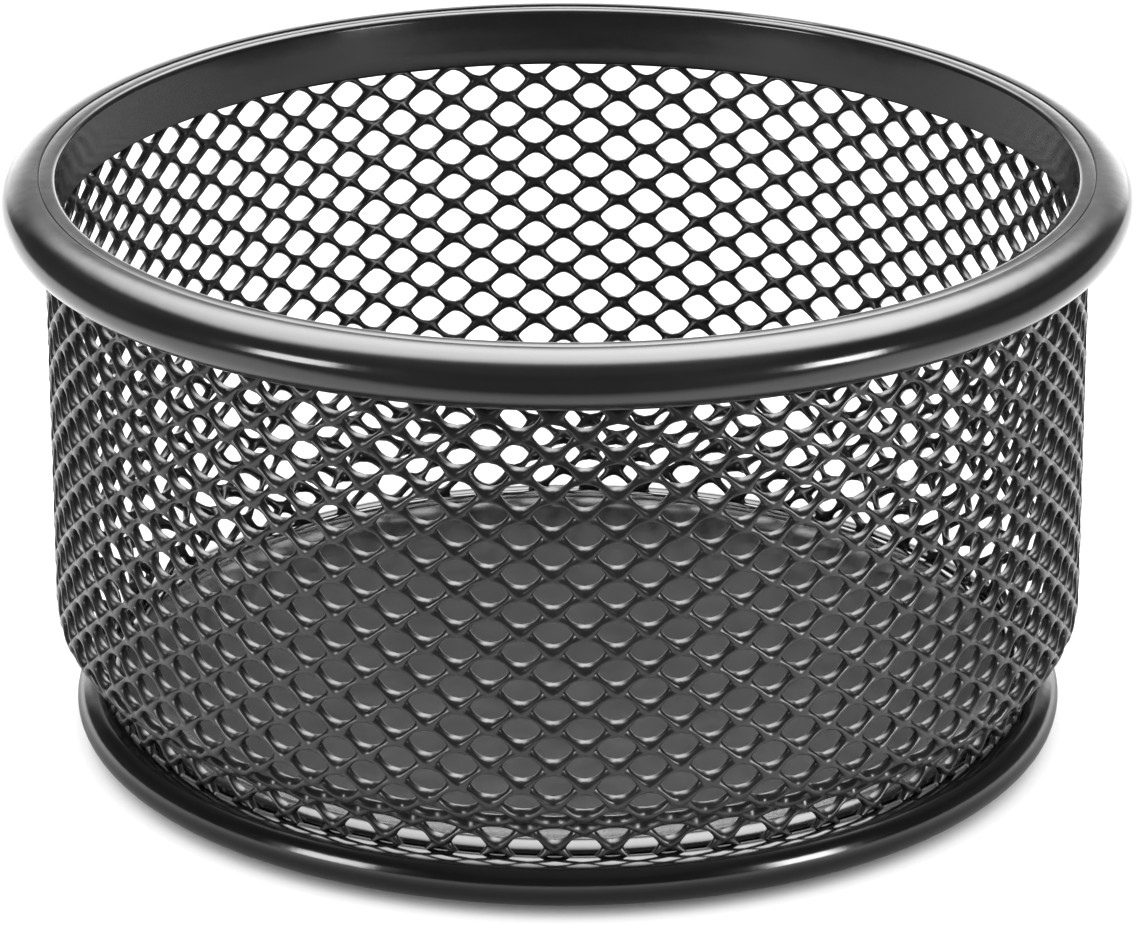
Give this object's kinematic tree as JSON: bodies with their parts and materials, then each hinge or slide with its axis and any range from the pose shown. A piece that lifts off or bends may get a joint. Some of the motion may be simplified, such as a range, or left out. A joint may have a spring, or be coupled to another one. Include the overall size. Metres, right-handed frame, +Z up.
{
  "type": "lazy susan organizer",
  "caption": "Round black steel mesh bowl with a rolled rim and a round base ring, on a low ball-bearing swivel with rubber feet.",
  "frame": {"origin": "centre of the surface that the feet stand on, on the swivel axis", "axes": "+Z up along the swivel axis; X and Y are level and lie halfway between the feet"},
  "size_m": [0.11, 0.11, 0.0581],
  "materials": {
    "black_gloss_paint": "gloss",
    "black_mesh_paint": "semi-gloss",
    "black_satin_paint": "satin",
    "zinc_plated_steel": "zinc-plated, satin",
    "rivet_steel": "plated, semi-gloss",
    "ball_steel": "polished",
    "nylon": "natural, matte",
    "foot_rubber": "matte"
  },
  "bodies": {
    "base": {"lower_race": "zinc_plated_steel", "pivot_rivet": "rivet_steel", "rubber_foot_1": "foot_rubber", "rubber_foot_2": "foot_rubber", "rubber_foot_3": "foot_rubber", "rubber_foot_4": "foot_rubber"},
    "bowl": {"rim_hoop": "black_gloss_paint", "mesh_wall": "black_mesh_paint", "floor_plate": "black_satin_paint", "base_ring": "black_gloss_paint", "upper_race": "zinc_plated_steel"},
    "bearing": {"ball_cage": "nylon", "thrust_washer": "nylon", "bearing_ball_1": "ball_steel", "bearing_ball_2": "ball_steel", "bearing_ball_3": "ball_steel", "bearing_ball_4": "ball_steel", "bearing_ball_5": "ball_steel", "bearing_ball_6": "ball_steel", "bearing_ball_7": "ball_steel", "bearing_ball_8": "ball_steel", "bearing_ball_9": "ball_steel", "bearing_ball_10": "ball_steel", "bearing_ball_11": "ball_steel", "bearing_ball_12": "ball_steel"}
  },
  "joints": [
    {"name": "bowl_spin", "type": "hinge", "parent": "base", "child": "bowl", "pos_m": [0, 0, 0.00275], "axis": [0, 0, 1], "continuous": true},
    {"name": "bearing_orbit", "type": "hinge", "parent": "base", "child": "bearing", "pos_m": [0, 0, 0.00275], "axis": [0, 0, 1], "continuous": true}
  ],
  "couplings": [
    {"joint": "bearing_orbit", "follows": "bowl_spin", "ratio": 0.5}
  ]
}
